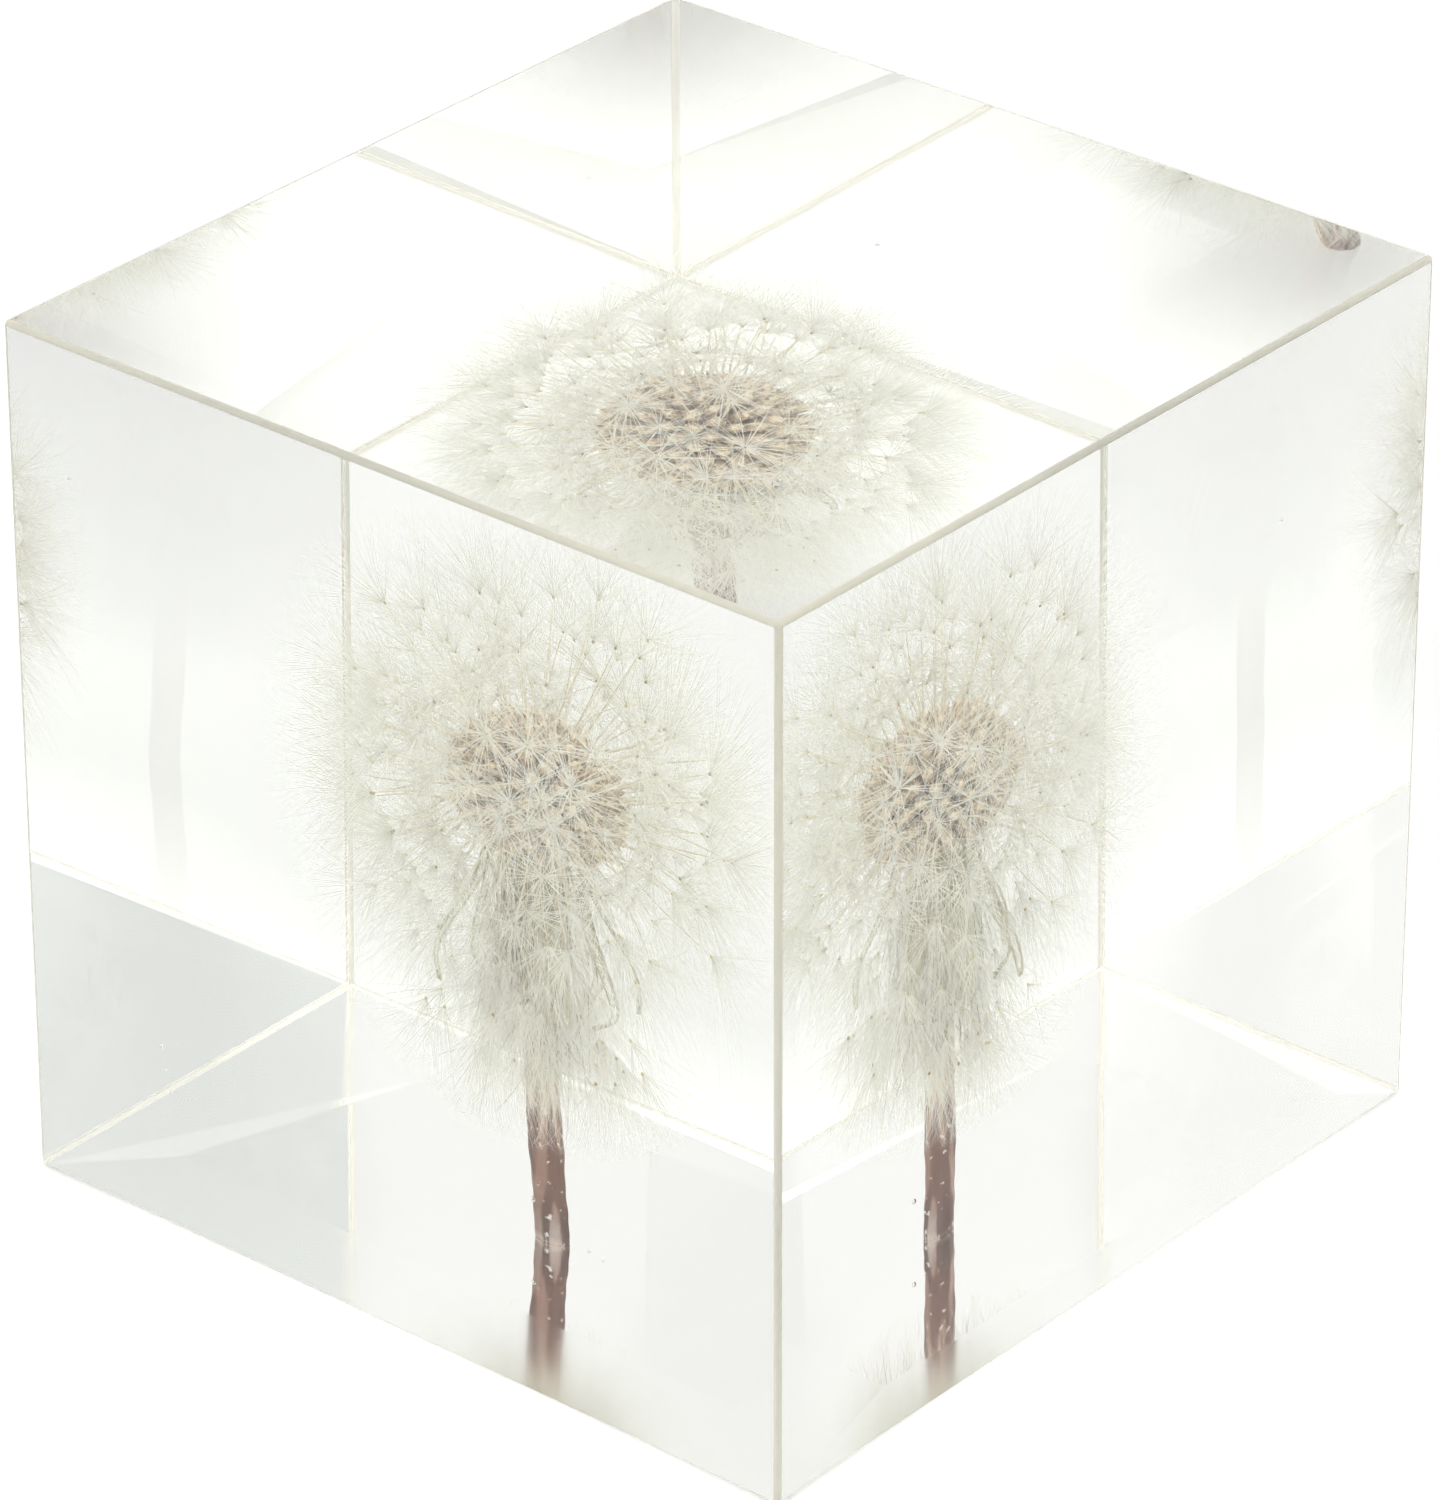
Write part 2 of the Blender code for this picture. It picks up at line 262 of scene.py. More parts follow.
def add_mix(nodes, links, factor, first, second, blend="MIX"):
    mix = nodes.new("ShaderNodeMix")
    mix.data_type = "RGBA"
    mix.blend_type = blend
    for socket, value in ((mix.inputs[0], factor), (mix.inputs[6], first), (mix.inputs[7], second)):
        if isinstance(value, bpy.types.NodeSocket):
            links.new(value, socket)
        elif isinstance(value, tuple):
            socket.default_value = (*value, 1.0)
        else:
            socket.default_value = value
    return mix.outputs[2]


def add_translucency(material, nodes, links, shader, colour, share):
    """Lets light through thin plant matter: colour is a socket or a plain colour."""
    thin = nodes.new("ShaderNodeBsdfTranslucent")
    if isinstance(colour, bpy.types.NodeSocket):
        links.new(colour, thin.inputs["Color"])
    else:
        thin.inputs["Color"].default_value = (*colour, 1.0)
    both = nodes.new("ShaderNodeMixShader")
    both.inputs["Fac"].default_value = share
    links.new(shader.outputs["BSDF"], both.inputs[1])
    links.new(thin.outputs["BSDF"], both.inputs[2])
    links.new(both.outputs["Shader"], nodes["Material Output"].inputs["Surface"])


def resin_material(name, roughness, colour=(1.0, 1.0, 0.995, 1.0), clearness=1.0):
    material, nodes, links, shader = new_material(name)
    shader.inputs["Base Color"].default_value = colour
    shader.inputs["Roughness"].default_value = roughness
    shader.inputs["Transmission Weight"].default_value = clearness
    shader.inputs["IOR"].default_value = RESIN_IOR
    absorption = nodes.new("ShaderNodeVolumeAbsorption")
    absorption.inputs["Color"].default_value = RESIN_TINT
    absorption.inputs["Density"].default_value = RESIN_DENSITY
    links.new(absorption.outputs["Volume"], nodes["Material Output"].inputs["Volume"])
    return material


def stem_material():
    """Red-brown skin with fibres along it, stained by height, with painted silvery glints and a painted
    amber backlight on one side.
    """
    material, nodes, links, shader = new_material("stem_skin")
    streaks = add_noise(nodes, links, 900.0, 4.0)
    patches = add_noise(nodes, links, 240.0, 3.0)
    base = add_ramp(nodes, [(0.35, (0.36, 0.24, 0.20)), (0.50, (0.56, 0.42, 0.36)),
                            (0.68, (0.88, 0.78, 0.70))])
    links.new(patches.outputs["Fac"], base.inputs["Fac"])
    fibres = add_ramp(nodes, [(0.46, (0.0, 0.0, 0.0)), (0.56, (0.9, 0.9, 0.9))])
    links.new(streaks.outputs["Fac"], fibres.inputs["Fac"])
    place = nodes.new("ShaderNodeTexCoord")
    height = nodes.new("ShaderNodeSeparateXYZ")
    links.new(place.outputs["Object"], height.inputs["Vector"])
    stretch = nodes.new("ShaderNodeMapping")
    stretch.inputs["Scale"].default_value = (1.0, 1.0, 0.14)
    links.new(place.outputs["Object"], stretch.inputs["Vector"])
    links.new(stretch.outputs["Vector"], streaks.inputs["Vector"])
    climb = nodes.new("ShaderNodeMath")
    climb.operation = "MULTIPLY"
    climb.inputs[1].default_value = 1 / STAIN_HEIGHT
    links.new(height.outputs["Z"], climb.inputs[0])
    stain = add_ramp(nodes, [(0.00, (1.0, 0.98, 0.98)), (0.03, (0.40, 0.36, 0.38)),
                             (0.08, (0.46, 0.40, 0.40)), (0.16, (0.82, 0.66, 0.60)),
                             (0.42, (0.95, 0.84, 0.78))])
    links.new(climb.outputs["Value"], stain.inputs["Fac"])
    skin = add_mix(nodes, links, fibres.outputs["Color"], base.outputs["Color"], (0.13, 0.06, 0.045))
    skin = add_mix(nodes, links, 0.8, skin, stain.outputs["Color"], "MULTIPLY")
    covered = add_ramp(nodes, [(0.42, (0.0, 0.0, 0.0)), (0.58, (0.85, 0.85, 0.85))])
    links.new(climb.outputs["Value"], covered.inputs["Fac"])
    skin = add_mix(nodes, links, covered.outputs["Color"], skin, (0.84, 0.79, 0.62))
    # Painted light: an amber backlight painted on the stem's -X+Y side, as if light shone through its thin
    # skin there
    lit = nodes.new("ShaderNodeAttribute")
    lit.attribute_name = "along"
    painted_backlight_share = add_ramp(nodes, [(0.35, (0.0, 0.0, 0.0)), (1.0, (0.85, 0.85, 0.85))])
    links.new(lit.outputs["Fac"], painted_backlight_share.inputs["Fac"])
    painted_backlight_skin = add_mix(nodes, links, painted_backlight_share.outputs["Color"], skin, (0.86, 0.60, 0.34))
    # Painted highlights: tiny silvery glints painted into the skin colour
    specks = add_noise(nodes, links, 1700.0, 3.0)
    painted_glints = add_ramp(nodes, [(0.63, (0.0, 0.0, 0.0)), (0.67, (0.9, 0.9, 0.9))])
    links.new(specks.outputs["Fac"], painted_glints.inputs["Fac"])
    links.new(add_mix(nodes, links, painted_glints.outputs["Color"], painted_backlight_skin, (0.86, 0.85, 0.83)),
              shader.inputs["Base Color"])
    shader.inputs["Roughness"].default_value = 0.4
    add_bump(nodes, links, shader, streaks.outputs["Fac"], 0.00004)
    add_translucency(material, nodes, links, shader, (0.80, 0.50, 0.28), 0.2)
    return material


def achene_material():
    material, nodes, links, shader = new_material("seed_husk")
    along = nodes.new("ShaderNodeAttribute")
    along.attribute_name = "along"
    speckle = add_noise(nodes, links, 2600.0, 2.0)
    ramp = add_ramp(nodes, [(0.0, (0.52, 0.43, 0.34)), (0.50, (0.72, 0.60, 0.47)),
                            (0.78, (0.91, 0.78, 0.60)), (1.0, (0.97, 0.88, 0.68))])
    links.new(along.outputs["Fac"], ramp.inputs["Fac"])
    spots = add_ramp(nodes, [(0.45, (0.0, 0.0, 0.0)), (0.65, (0.45, 0.45, 0.45))])
    links.new(speckle.outputs["Fac"], spots.inputs["Fac"])
    colour = add_mix(nodes, links, spots.outputs["Color"], ramp.outputs["Color"], (0.40, 0.29, 0.20))
    links.new(colour, shader.inputs["Base Color"])
    shader.inputs["Roughness"].default_value = 0.7
    add_bump(nodes, links, shader, speckle.outputs["Fac"], 0.00005)
    return material


def beak_material():
    material, nodes, links, shader = new_material("beak")
    along = nodes.new("ShaderNodeAttribute")
    along.attribute_name = "along"
    tone = add_noise(nodes, links, 500.0, 2.0)
    ramp = add_ramp(nodes, [(0.0, (0.84, 0.74, 0.58)), (0.35, (0.94, 0.90, 0.80)),
                            (1.0, (0.90, 0.84, 0.68))])
    links.new(along.outputs["Fac"], ramp.inputs["Fac"])
    colour = add_mix(nodes, links, tone.outputs["Fac"], ramp.outputs["Color"], (0.95, 0.90, 0.80))
    links.new(colour, shader.inputs["Base Color"])
    shader.inputs["Roughness"].default_value = 0.5
    add_translucency(material, nodes, links, shader, (0.92, 0.88, 0.74), 0.4)
    return material


def disc_material():
    """The small knobs that the hairs stand on, from straw to brown."""
    material, nodes, links, shader = new_material("disc")
    tone = add_noise(nodes, links, 420.0, 1.0)
    ramp = add_ramp(nodes, [(0.38, (0.42, 0.27, 0.14)), (0.55, (0.78, 0.66, 0.30)),
                            (0.70, (0.86, 0.80, 0.58))])
    links.new(tone.outputs["Fac"], ramp.inputs["Fac"])
    links.new(ramp.outputs["Color"], shader.inputs["Base Color"])
    shader.inputs["Roughness"].default_value = 0.6
    return material


def pappus_material():
    material, nodes, links, shader = new_material("pappus_hair")
    tone = add_noise(nodes, links, 220.0, 2.0)
    ramp = add_ramp(nodes, [(0.35, (0.995, 0.995, 0.945)), (0.65, (1.0, 0.995, 0.965))])
    links.new(tone.outputs["Fac"], ramp.inputs["Fac"])
    links.new(ramp.outputs["Color"], shader.inputs["Base Color"])
    shader.inputs["Roughness"].default_value = 0.4
    add_translucency(material, nodes, links, shader, ramp.outputs["Color"], 0.5)
    return material


def fibre_material():
    """Dry brown fibres that have split off the bracts."""
    material, nodes, links, shader = new_material("dry_fibre")
    tone = add_noise(nodes, links, 300.0, 3.0)
    ramp = add_ramp(nodes, [(0.36, (0.38, 0.30, 0.20)), (0.54, (0.66, 0.57, 0.40)),
                            (0.68, (0.92, 0.86, 0.68))])
    links.new(tone.outputs["Fac"], ramp.inputs["Fac"])
    links.new(ramp.outputs["Color"], shader.inputs["Base Color"])
    shader.inputs["Roughness"].default_value = 0.5
    add_translucency(material, nodes, links, shader, ramp.outputs["Color"], 0.3)
    return material


def bract_material():
    """Papery and see-through in the middle, brown and firm along the edges."""
    material, nodes, links, shader = new_material("dry_bract")
    edge = nodes.new("ShaderNodeAttribute")
    edge.attribute_name = "edge"
    grain = add_noise(nodes, links, 700.0, 4.0)
    ramp = add_ramp(nodes, [(0.0, (0.98, 0.97, 0.88)), (0.66, (0.95, 0.93, 0.80)),
                            (0.86, (0.56, 0.49, 0.34)), (1.0, (0.26, 0.21, 0.16))])
    links.new(edge.outputs["Fac"], ramp.inputs["Fac"])
    colour = add_mix(nodes, links, grain.outputs["Fac"], ramp.outputs["Color"], (0.70, 0.68, 0.52))
    links.new(colour, shader.inputs["Base Color"])
    shader.inputs["Roughness"].default_value = 0.55
    add_bump(nodes, links, shader, grain.outputs["Fac"], 0.00006)
    add_translucency(material, nodes, links, shader, (0.97, 0.96, 0.84), 0.5)
    output = nodes["Material Output"]
    papery = output.inputs["Surface"].links[0].from_socket
    clear = nodes.new("ShaderNodeBsdfTransparent")
    share = add_ramp(nodes, [(0.66, (0.76, 0.76, 0.76)), (0.92, (0.05, 0.05, 0.05))])
    links.new(edge.outputs["Fac"], share.inputs["Fac"])
    both = nodes.new("ShaderNodeMixShader")
    links.new(share.outputs["Color"], both.inputs["Fac"])
    links.new(papery, both.inputs[1])
    links.new(clear.outputs["BSDF"], both.inputs[2])
    links.new(both.outputs["Shader"], output.inputs["Surface"])
    return material


def bubble_material():
    material, nodes, links, shader = new_material("bubble")
    shader.inputs["Base Color"].default_value = (1.0, 1.0, 1.0, 1.0)
    shader.inputs["Roughness"].default_value = 0.0
    shader.inputs["Transmission Weight"].default_value = 1.0
    shader.inputs["IOR"].default_value = 1 / RESIN_IOR
    return material


def floor_material():
    """A pale studio table, with a painted glow under and around the block, and painted shade that darkens
    it towards the sides of the view.
    """
    material, nodes, links, shader = new_material("studio_floor")
    shader.inputs["Roughness"].default_value = 0.9
    place = nodes.new("ShaderNodeTexCoord")
    across = nodes.new("ShaderNodeVectorMath")
    across.operation = "DOT_PRODUCT"
    across.inputs[1].default_value = (math.cos(CAMERA_AZIMUTH), math.sin(CAMERA_AZIMUTH), 0.0)
    links.new(place.outputs["Object"], across.inputs[0])
    span = nodes.new("ShaderNodeMapRange")
    span.inputs["From Min"].default_value = -FLOOR_SPAN
    span.inputs["From Max"].default_value = FLOOR_SPAN
    links.new(across.outputs["Value"], span.inputs["Value"])
    # Painted shade: the table darkens towards both sides across the view, most to the right
    painted_side_shade = add_ramp(nodes, [(0.10, (0.46, 0.46, 0.46)), (0.34, (0.52, 0.52, 0.52)),
                                (0.64, (0.52, 0.52, 0.52)), (0.90, (0.39, 0.39, 0.40))])
    links.new(span.outputs["Result"], painted_side_shade.inputs["Fac"])
    links.new(painted_side_shade.outputs["Color"], shader.inputs["Base Color"])
    # Painted light: the table glows under and around the block, where no lamp shines
    offset = nodes.new("ShaderNodeMapping")
    offset.inputs["Scale"].default_value = (13.0, 13.0, 13.0)
    links.new(place.outputs["Object"], offset.inputs["Vector"])
    painted_glow = nodes.new("ShaderNodeTexGradient")
    painted_glow.gradient_type = "SPHERICAL"
    links.new(offset.outputs["Vector"], painted_glow.inputs["Vector"])
    tone = add_ramp(nodes, [(0.0, (0.0, 0.0, 0.0)), (0.44, (0.36, 0.36, 0.36)), (0.60, (1.0, 1.0, 1.0))])
    links.new(painted_glow.outputs["Fac"], tone.inputs["Fac"])
    links.new(tone.outputs["Color"], shader.inputs["Emission Color"])
    shader.inputs["Emission Strength"].default_value = 0.42
    material.cycles.emission_sampling = "NONE"
    return material


# The block

def make_resin_block():
    """A rounded block; its polished foot is flat inside the plateau and rises a little around it."""
    bm = bmesh.new()
    bmesh.ops.create_cube(bm, size=1.0)
    for vertex in bm.verts:
        for axis in range(3):
            vertex.co[axis] = (BLOCK_LOW[axis] + BLOCK_HIGH[axis]) / 2 + vertex.co[axis] * BLOCK_SIZE[axis]
    bmesh.ops.bevel(bm, geom=list(bm.edges), offset=EDGE_RADIUS, segments=6, profile=0.5, affect="EDGES")
    foot = min(bm.faces, key=lambda face: face.calc_center_median().z)
    corners = list(foot.verts)
    inner = []
    for corner in corners:
        place = min(PLATEAU, key=lambda p: (p - corner.co.xy).length)
        inner.append(bm.verts.new((place.x, place.y, foot.calc_center_median().z)))
    bm.faces.remove(foot)
    bm.faces.new(inner)
    for i in range(len(corners)):
        j = (i + 1) % len(corners)
        margin = bm.faces.new((corners[i], corners[j], inner[j], inner[i]))
        margin.material_index = 1
    bm.normal_update()
    for face in bm.faces:
        if max(abs(axis) for axis in face.normal) < 0.999 and face.material_index == 0:
            face.material_index = 2
    for vertex in bm.verts:
        if vertex not in inner and vertex.co.z < EDGE_RADIUS:
            vertex.co.z += FOOT_RISE * (1 - vertex.co.z / EDGE_RADIUS)
    clear = resin_material("clear_resin", 0.0)
    block = new_object("resin_block", mesh_from_bmesh("resin_block", bm), clear)
    block.data.materials.append(resin_material("resin_foot_margin", FOOT_ROUGHNESS))
    block.data.materials.append(resin_material("resin_edge", EDGE_ROUGHNESS, EDGE_COLOUR, EDGE_CLEARNESS))
    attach(block, "root")
    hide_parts("resin_front", "resin_back")


# The plant

def make_stem():
    """A fluted stem along its route; the number on each point says how far it faces the side where amber
    backlight is painted.
    """
    rings, sides = 70, 36
    route = smooth_route(STEM_ROUTE, rings)
    route[0].z = STEM_FOOT
    centre = np.array([tuple(p) for p in route])
    tangent = unit(np.gradient(centre, axis=0))
    first, second = side_vectors(tangent)
    turn = np.arange(sides) / sides * 2 * math.pi
    height = np.linspace(0, 1, rings)[:, None]
    ridges = 0.035 * np.sin(9 * turn + 2.0 * height) + 0.02 * np.sin(17 * turn - 5.0 * height)
    swell = 0.03 * np.sin(height * 23) + 0.02 * np.sin(height * 61 + 1)
    radius = STEM_RADIUS * (0.95 + ridges + swell)
    points = (centre[:, None] + (first[:, None] * np.cos(turn)[:, None]
                                 + second[:, None] * np.sin(turn)[:, None]) * radius[..., None])
    faces = []
    for ring in range(rings - 1):
        for side in range(sides):
            a, b = ring * sides + side, ring * sides + (side + 1) % sides
            faces.append((a, b, b + sides, a + sides))
    faces.append(tuple(reversed(range(sides))))
    faces.append(tuple((rings - 1) * sides + side for side in range(sides)))
    points[0, :, 2] = STEM_FOOT
    away = points - centre[:, None]
    # How far each point faces the side that gets the painted amber backlight
    lit = (away @ np.array([-0.71, 0.71, 0.0])) / STEM_RADIUS
    mesh = mesh_from_arrays("stem_skin", points.reshape(-1, 3), faces, lit)
    mesh.shade_smooth()
    stem = new_object("stem_ribbed", mesh, stem_material())
    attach(stem, "root")
    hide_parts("stem")


def ball_points(directions):
    """Where the directions of the lattice meet the ball of seeds, from its centre."""
    return directions * [BALL_RADIUS, BALL_RADIUS, BALL_HALF_HEIGHT]


def make_achenes(tips, material):
    """Ribbed seeds from near the head's centre out to the ball's surface."""
    profile = [(0.38, 0.10), (0.46, 0.24), (0.58, 0.38), (0.70, 0.50), (0.80, 0.56), (0.87, 0.54),
               (0.92, 0.40), (0.96, 0.20), (1.02, 0.09)]
    sides = 8
    share = np.array([p[0] for p in profile])
    width = np.array([p[1] for p in profile]) * 0.001
    axis = unit(tips)
    first, second = side_vectors(axis)
    count = len(tips)
    turn = np.arange(sides) / sides * 2 * math.pi
    rib = 1 + 0.16 * (np.arange(sides) % 2)
    flat = 0.78
    length = np.linalg.norm(tips, axis=1)
    spin = rng.uniform(0, math.pi, count)
    cosines = np.cos(turn[None] + spin[:, None])
    sines = np.sin(turn[None] + spin[:, None]) * flat
    size = rng.uniform(0.85, 1.1, count)
    centre = axis[:, None] * (length[:, None] * share[None])[..., None]
    spread = (first[:, None, None] * cosines[:, None, :, None]
              + second[:, None, None] * sines[:, None, :, None])
    radius = (width[None, :, None] * rib[None, None] * size[:, None, None])[..., None]
    vertices = centre[:, :, None] + spread * radius
    per = len(profile) * sides
    faces = []
    for item in range(count):
        start = item * per
        for ring in range(len(profile) - 1):
            for side in range(sides):
                a, b = start + ring * sides + side, start + ring * sides + (side + 1) % sides
                faces.append((a, b, b + sides, a + sides))
        faces.append(tuple(start + side for side in reversed(range(sides))))
        faces.append(tuple(start + per - sides + side for side in range(sides)))
    along = np.tile(np.repeat(np.linspace(0, 1, len(profile)), sides), count)
    places = vertices.reshape(-1, 3) + np.array(HEAD_CENTRE)
    return new_object("achenes", mesh_from_arrays("achenes", places, faces, along), material)


def make_shoulder_spines(tips, material):
    """The short teeth around the top of each seed."""
    axis = unit(tips)
    first, second = side_vectors(axis)
    length = np.linalg.norm(tips, axis=1)
    per_seed = 16
    count = len(tips)
    turn = rng.uniform(0, 2 * math.pi, (count, per_seed))
    share = rng.uniform(0.80, 0.95, (count, per_seed))
    out = first[:, None] * np.cos(turn)[..., None] + second[:, None] * np.sin(turn)[..., None]
    root = axis[:, None] * (length[:, None] * share)[..., None] + out * 0.00035
    tip = root + out * 0.00030 + axis[:, None] * 0.00045
    paths = np.stack([root, (root + tip) / 2 + out * 0.00005, tip], axis=2).reshape(-1, 3, 3)
    radii = np.tile([0.00011, 0.00007, 0.0], (len(paths), 1))
    return strands("achene_teeth", paths + np.array(HEAD_CENTRE), radii, 4, material)


def make_receptacle(material):
    """The pitted cushion that the seeds grow on, with its collar below."""
    bm = bmesh.new()
    bmesh.ops.create_icosphere(bm, subdivisions=4, radius=1.0)
    for vertex in bm.verts:
        x, y, z = vertex.co
        reach = math.hypot(x, y)
        if z < 0:
            x, y = x * (1 + 0.4 * z * z) * 0.9, y * (1 + 0.4 * z * z) * 0.9
        height = 0.0026 if z > 0 else 0.0034
        pit = 1 + 0.02 * math.sin(31 * x) * math.sin(29 * y) * reach
        vertex.co = HEAD_CENTRE + Vector((x * 0.0034, y * 0.0034, z * height)) * pit
    mesh = mesh_from_bmesh("receptacle", bm)
    mesh.shade_smooth()
    return new_object("receptacle", mesh, material)


def parachute_centres(directions):
    """The far ends of the beaks: further out where the seed stands free, drooping below."""
    count = len(directions)
    reach = rng.uniform(0.0108, 0.0148, count)
    lean = rng.normal(0, 0.07, (count, 3))
    axis = unit(directions + lean)
    droop = np.clip(-axis[:, 2], 0, 1) * 0.0022
    centres = axis * reach[:, None]
    centres[:, 2] -= droop
    return centres


def make_beaks(starts, centres, material):
    """A thin, slightly sagging stalk from each seed out to its parachute."""
    steps = 6
    t = np.linspace(0, 1, steps)[None, :, None]
    sag = rng.normal(0, 0.0002, (len(starts), 1, 3))
    paths = starts[:, None] * (1 - t) + centres[:, None] * t + sag * np.sin(math.pi * t)
    radii = np.tile(np.linspace(0.00008, 0.000045, steps), (len(paths), 1))
    return strands("beaks", paths + np.array(HEAD_CENTRE), radii, 5, material)


def hair_paths(centres, axes, hairs, low, high):
    """Hairs that open from each centre round its axis, between two angles, and droop low down."""
    count = len(centres)
    first, second = side_vectors(axes)
    turn = (np.arange(hairs) * GOLDEN_ANGLE)[None] + rng.uniform(0, 6.28, (count, 1))
    turn = turn + rng.normal(0, 0.12, (count, hairs))
    opening = rng.uniform(0.0, 1.0, (count, 1))
    spread = rng.beta(2.2, 1.6, (count, hairs))
    angle = np.radians(low + (high - low) * spread) * (0.75 + 0.40 * opening)
    length = HAIR_LENGTH * rng.uniform(0.82, 1.06, (count, hairs))
    out = first[:, None] * np.cos(turn)[..., None] + second[:, None] * np.sin(turn)[..., None]
    t = np.linspace(0, 1, HAIR_STEPS)
    bend = rng.normal(0.10, 0.10, (count, hairs))
    angle_along = angle[..., None] + bend[..., None] * t
    step = length[..., None] / (HAIR_STEPS - 1)
    forward = np.cumsum(np.cos(angle_along) * step, axis=2) - np.cos(angle_along) * step
    outward = np.cumsum(np.sin(angle_along) * step, axis=2) - np.sin(angle_along) * step
    paths = (centres[:, None, None] + axes[:, None, None] * forward[..., None]
             + out[:, :, None] * outward[..., None])
    wave = rng.normal(0, 0.00012, (count, hairs, 1, 3))
    paths = paths + wave * (t ** 2)[None, None, :, None]
    below = np.clip(-paths[..., 2] / 0.012, 0, 1.3)
    paths[..., 2] -= 0.0013 * below * t[None, None] ** 1.5
    return paths.reshape(-1, HAIR_STEPS, 3)


def keep_in_globe(paths):
    """Pulls the hairs that would reach out of the globe back to its surface."""
    vertical = np.where(paths[..., 2:3] > 0, GLOBE_RADIUS, GLOBE_DROOP)
    scaled = paths / np.concatenate([np.full_like(vertical, GLOBE_RADIUS)] * 2 + [vertical], axis=-1)
    reach = np.linalg.norm(scaled, axis=-1, keepdims=True)
    return paths / np.maximum(reach, 1.0)


def make_pappus(open_seeds, hanging_seeds, material):
    """Hairs of the parachutes: wide open all round the head, half closed like tassels about the stem."""
    paths = keep_in_globe(np.concatenate([hair_paths(*open_seeds, HAIRS_PER_SEED, *OPEN_CONE),
                                          hair_paths(*hanging_seeds, HANGING_HAIRS, *TASSEL_CONE)]))
    order = np.arange(len(paths)) // HAIRS_PER_SEED % PAPPUS_PIECES
    width = np.linspace(1.0, 0.25, HAIR_STEPS)
    made = []
    for piece in range(PAPPUS_PIECES):
        chosen = paths[order == piece] + np.array(HEAD_CENTRE)
        radii = np.tile(HAIR_RADIUS * width, (len(chosen), 1))
        made.append(strands(f"pappus_{piece + 1:02d}", chosen, radii, 3, material))
    return made


def make_pressed_bursts(material):
    """Parachutes that lie against the ball, with their hairs fanned out over it."""
    axes = unit(lattice(PRESSED_COUNT, math.radians(146)) + rng.normal(0, 0.12, (PRESSED_COUNT, 3)))
    centres = axes * rng.uniform(0.0082, 0.0104, (PRESSED_COUNT, 1)) * [1.0, 1.0, 0.86]
    first, second = side_vectors(axes)
    turn = rng.uniform(0, 2 * math.pi, (PRESSED_COUNT, PRESSED_HAIRS))
    angle = np.radians(rng.uniform(48, 104, (PRESSED_COUNT, PRESSED_HAIRS)))
    length = rng.uniform(0.0036, 0.0056, (PRESSED_COUNT, PRESSED_HAIRS))
    out = first[:, None] * np.cos(turn)[..., None] + second[:, None] * np.sin(turn)[..., None]
    steps = np.linspace(0, 1, 5)
    forward = np.cos(angle)[..., None] * steps - 0.12 * steps ** 2
    outward = np.sin(angle)[..., None] * steps
    paths = (centres[:, None, None] + (axes[:, None, None] * forward[..., None]
                                       + out[:, :, None] * outward[..., None]) * length[..., None, None])
    paths = paths.reshape(-1, 5, 3) + np.array(HEAD_CENTRE)
    radii = np.tile(PRESSED_RADIUS * np.linspace(1.0, 0.4, 5), (len(paths), 1))
    return strands("pressed_bursts", paths, radii, 3, material), centres


def make_clinging_strands(name, count, thickness, tangle, material):
    """Strands from under the ball that run down the bracts and the top of the stem."""
    steps = 8
    t = np.linspace(0, 1, steps)
    turn = rng.uniform(0, 2 * math.pi, count)
    start = rng.uniform(-0.0160, -0.0045, count)
    length = rng.uniform(0.0045, 0.0088, count)
    near = rng.uniform(0.0017, 0.0042, count)
    far = near + rng.normal(0.0004, 0.0011, count)
    twist = rng.normal(0, tangle, count)
    height = start[:, None] - length[:, None] * t
    reach = np.maximum(near[:, None] * (1 - t) + far[:, None] * t, 0.0014)
    angle = turn[:, None] + twist[:, None] * t ** 2
    paths = np.stack([reach * np.cos(angle), reach * np.sin(angle), height], axis=-1)
    radii = np.tile(thickness * np.linspace(1.0, 0.4, steps), (count, 1))
    return strands(name, paths + np.array(HEAD_CENTRE), radii, 3, material)


def make_discs(centres, material):
    """A small knob at the centre of each parachute."""
    axis = unit(centres)
    steps = np.array([-0.00016, -0.00006, 0.00006, 0.00014])
    paths = centres[:, None] + axis[:, None] * steps[None, :, None]
    radii = np.tile([0.00005, 0.00012, 0.00011, 0.0], (len(centres), 1))
    return strands("pappus_discs", paths + np.array(HEAD_CENTRE), radii, 6, material)


def make_loose_hairs(material):
    """Single hairs between the parachutes, which stand outwards and sink a little below the head."""
    direction = unit(rng.normal(0, 1, (LOOSE_COUNT, 3)) + [0.0, 0.0, -0.25])
    start = direction * rng.uniform(0.0088, 0.0148, (LOOSE_COUNT, 1))
    heading = unit(direction + rng.normal(0, 0.33, (LOOSE_COUNT, 3)))
    length = rng.uniform(0.0042, 0.0078, (LOOSE_COUNT, 1, 1))
    t = np.linspace(0, 1, 4)[None, :, None]
    sink = np.clip(-start[:, None, 2:3] / 0.012, 0, 1.2) * t ** 1.5 * 0.0016 * [0.0, 0.0, 1.0]
    paths = keep_in_globe(start[:, None] + heading[:, None] * length * t - sink)
    radii = np.tile(LOOSE_RADIUS * np.linspace(1.0, 0.35, 4), (LOOSE_COUNT, 1))
    return strands("loose_hairs", paths + np.array(HEAD_CENTRE), radii, 3, material)


